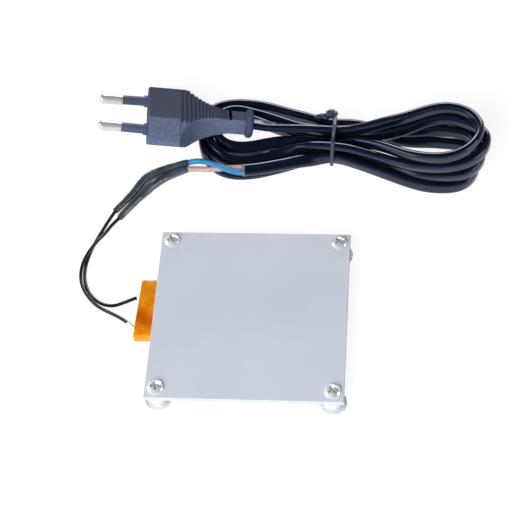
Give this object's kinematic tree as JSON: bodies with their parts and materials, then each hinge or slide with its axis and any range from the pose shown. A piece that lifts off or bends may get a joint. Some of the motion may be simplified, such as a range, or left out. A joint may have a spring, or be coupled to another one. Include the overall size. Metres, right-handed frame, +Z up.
{
  "type": "heating platform",
  "caption": "Square aluminium heating plate on corner feet, with a flat film-wrapped heater under it and thin leads spliced to a hanked flat mains cord with a flat plug.",
  "frame": {"origin": "on the table under the middle of the platform with its heater, without the leads, the cord and the plug", "axes": "+X to the right, away from the heater's lead end; +Y to the back, towards the mains cord; +Z up, out of the plate's work surface"},
  "size_m": [0.1532, 0.1391, 0.0246],
  "materials": {
    "plate_aluminium": "satin anodised",
    "screw_steel": "zinc plated",
    "foot_metal": "nickel plated",
    "bond_silicone": "matte",
    "film_amber": "glossy",
    "seal_silicone": "matte",
    "electrode_aluminium": "rolled",
    "chip_ceramic": "matte",
    "crimp_brass": "tinned",
    "sleeve_white": "satin",
    "wire_black": "satin",
    "shrink_grey": "glossy",
    "core_blue": "satin",
    "core_brown": "satin",
    "cord_black": "satin",
    "tie_black": "satin",
    "plug_black": "matte",
    "carrier_grey": "matte",
    "pin_nickel": "nickel plated"
  },
  "bodies": {
    "root": {"heating_plate": "plate_aluminium", "corner_screws": "screw_steel", "foot_front_left": "foot_metal", "foot_front_right": "foot_metal", "foot_back_left": "foot_metal", "foot_back_right": "foot_metal", "bond_layer": "bond_silicone", "heater_film": "film_amber", "end_seal": "seal_silicone", "upper_electrode": "electrode_aluminium", "lower_electrode": "electrode_aluminium", "ptc_chips": "chip_ceramic", "lead_crimps": "crimp_brass", "lead_sleeve_far": "sleeve_white", "lead_sleeve_near": "sleeve_white", "lead_wire_far": "wire_black", "lead_wire_near": "wire_black", "splice_far": "crimp_brass", "splice_near": "crimp_brass", "heat_shrink_far": "shrink_grey", "heat_shrink_near": "shrink_grey", "core_blue": "core_blue", "core_brown": "core_brown", "cord_cut_end": "cord_black", "cord_hank": "cord_black", "cord_plug_run": "cord_black", "hank_tie": "tie_black", "plug_moulding": "plug_black", "pin_carrier": "carrier_grey", "plug_crimps": "crimp_brass", "plug_cores": "core_blue", "plug_pin_far": "pin_nickel", "plug_pin_near": "pin_nickel", "pin_sleeve_far": "plug_black", "pin_sleeve_near": "plug_black"}
  },
  "joints": []
}
